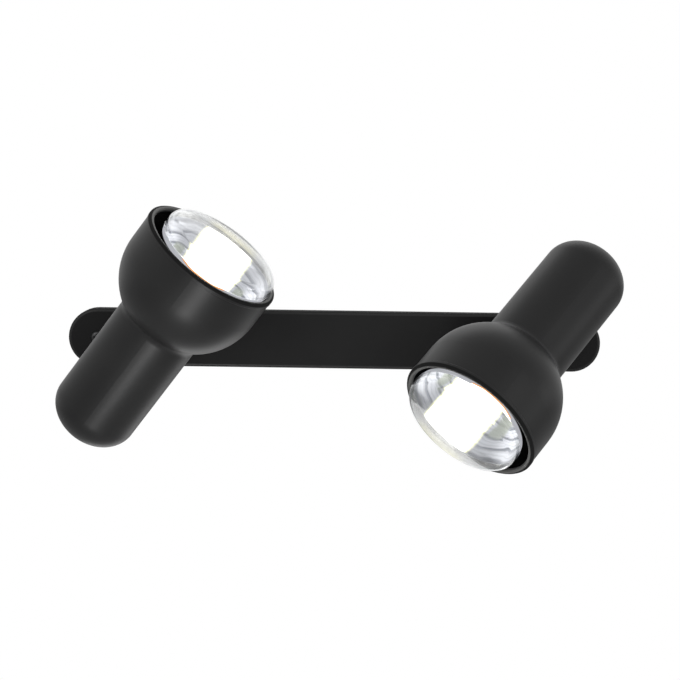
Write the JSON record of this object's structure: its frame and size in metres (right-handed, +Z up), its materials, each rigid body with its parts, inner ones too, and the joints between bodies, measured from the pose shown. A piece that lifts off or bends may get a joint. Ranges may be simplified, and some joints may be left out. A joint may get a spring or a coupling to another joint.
{
  "type": "pivoting spotlight wall light",
  "caption": "Wall light with a bar-shaped tray backplate and satin black reflector spotlight heads on hollow friction knuckles that swivel and tilt.",
  "frame": {"origin": "middle of the backplate, on the wall", "axes": "+X along the backplate, +Y into the wall, +Z up"},
  "size_m": [0.3683, 0.1583, 0.1667],
  "materials": {
    "cover_paint": "satin",
    "head_paint": "satin",
    "knuckle_paint": "satin",
    "black_steel": "satin",
    "zinc_steel": "satin",
    "black_plastic": "matte",
    "white_plastic": "matte",
    "holder_plastic": "gloss",
    "black_rubber": "matte",
    "brass_parts": "satin",
    "lamp_silver": "polished",
    "lamp_glass": "gloss",
    "cap_metal": "satin",
    "cap_glass": "gloss",
    "solder": "satin",
    "filament_wire": "satin"
  },
  "bodies": {
    "base": {"cover": "cover_paint", "wall_bracket": "zinc_steel", "cover_screws": "black_steel", "cable_grommet": "black_rubber", "terminal_block": "white_plastic", "terminal_inserts": "brass_parts", "terminal_screws": "zinc_steel", "terminal_block_screw": "zinc_steel", "earth_screw": "zinc_steel", "swivel_stop_pins": "zinc_steel"},
    "left_swivel": {"left_knuckle_base": "knuckle_paint", "left_seat_washer": "black_plastic", "left_stop_washer": "zinc_steel", "left_spring_washer": "zinc_steel", "left_swivel_nut": "zinc_steel", "left_pivot_screw": "black_steel", "left_pivot_nut": "black_steel"},
    "left_head": {"left_knuckle_top": "knuckle_paint", "left_saddle_washer": "black_plastic", "left_head_shell": "head_paint", "left_stem_nut": "zinc_steel", "left_lampholder_bracket": "zinc_steel", "left_lampholder_screws": "zinc_steel", "left_lampholder": "holder_plastic", "left_lampholder_shell": "brass_parts", "left_lampholder_contact": "brass_parts", "left_lampholder_terminals": "zinc_steel", "left_lamp_reflector": "lamp_silver", "left_lamp_front": "lamp_glass", "left_lamp_cap": "cap_metal", "left_lamp_insulator": "cap_glass", "left_lamp_tip": "solder", "left_lamp_stem": "lamp_glass", "left_lamp_filament": "filament_wire"},
    "right_swivel": {"right_knuckle_base": "knuckle_paint", "right_seat_washer": "black_plastic", "right_stop_washer": "zinc_steel", "right_spring_washer": "zinc_steel", "right_swivel_nut": "zinc_steel", "right_pivot_screw": "black_steel", "right_pivot_nut": "black_steel"},
    "right_head": {"right_knuckle_top": "knuckle_paint", "right_saddle_washer": "black_plastic", "right_head_shell": "head_paint", "right_stem_nut": "zinc_steel", "right_lampholder_bracket": "zinc_steel", "right_lampholder_screws": "zinc_steel", "right_lampholder": "holder_plastic", "right_lampholder_shell": "brass_parts", "right_lampholder_contact": "brass_parts", "right_lampholder_terminals": "zinc_steel", "right_lamp_reflector": "lamp_silver", "right_lamp_front": "lamp_glass", "right_lamp_cap": "cap_metal", "right_lamp_insulator": "cap_glass", "right_lamp_tip": "solder", "right_lamp_stem": "lamp_glass", "right_lamp_filament": "filament_wire"}
  },
  "joints": [
    {"name": "left_turn", "type": "hinge", "parent": "base", "child": "left_swivel", "pos_m": [-0.1217, -0.018, 0], "axis": [0, -1, 0], "range_deg": [-125.2, 198.8]},
    {"name": "left_tilt", "type": "hinge", "parent": "left_swivel", "child": "left_head", "pos_m": [-0.1217, -0.0338, 0], "axis": [0.8007, 0, -0.599], "range_deg": [-24.2, 16.8]},
    {"name": "right_turn", "type": "hinge", "parent": "base", "child": "right_swivel", "pos_m": [0.1217, -0.018, 0], "axis": [0, -1, 0], "range_deg": [-120, 204]},
    {"name": "right_tilt", "type": "hinge", "parent": "right_swivel", "child": "right_head", "pos_m": [0.1217, -0.0338, 0], "axis": [-0.7431, 0, 0.6691], "range_deg": [-37.6, 3.4]}
  ]
}
